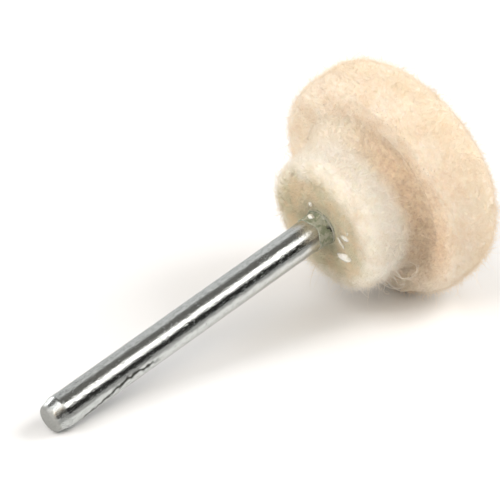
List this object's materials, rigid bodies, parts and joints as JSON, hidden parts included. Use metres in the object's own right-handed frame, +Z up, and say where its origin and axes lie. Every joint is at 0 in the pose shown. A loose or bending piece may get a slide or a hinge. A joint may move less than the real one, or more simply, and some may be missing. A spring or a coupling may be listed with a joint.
{
  "type": "felt polishing wheel",
  "caption": "Stepped round felt head, a wheel with a smaller hub behind it, bonded to a plain steel shank that a rotary tool grips.",
  "frame": {"origin": "on the bench, below the middle of the tool's bounding box, with the tool lying on its wheel's rim and its shank's tip", "axes": "+X along the bench from the shank's free end towards the wheel, +Z up; the tool axis lies in the XZ plane and climbs from the shank to the wheel by 14.3 degrees"},
  "size_m": [0.0446, 0.022, 0.022],
  "materials": {
    "steel": "bright plated, fine scratches along its length, a grey cut end face",
    "adhesive": "cured glue, grey-green and slightly glossy",
    "hub_felt": "pressed wool felt, pale cream, fuzzy, stained by glue round the shank",
    "glue_film": "dried glue line",
    "wheel_felt": "pressed wool felt, warm beige, fuzzy, with a few dark flecks"
  },
  "bodies": {
    "root": {"shank": "steel", "shank_adhesive": "adhesive", "felt_hub": "hub_felt", "hub_adhesive": "glue_film", "felt_wheel": "wheel_felt"}
  },
  "joints": []
}
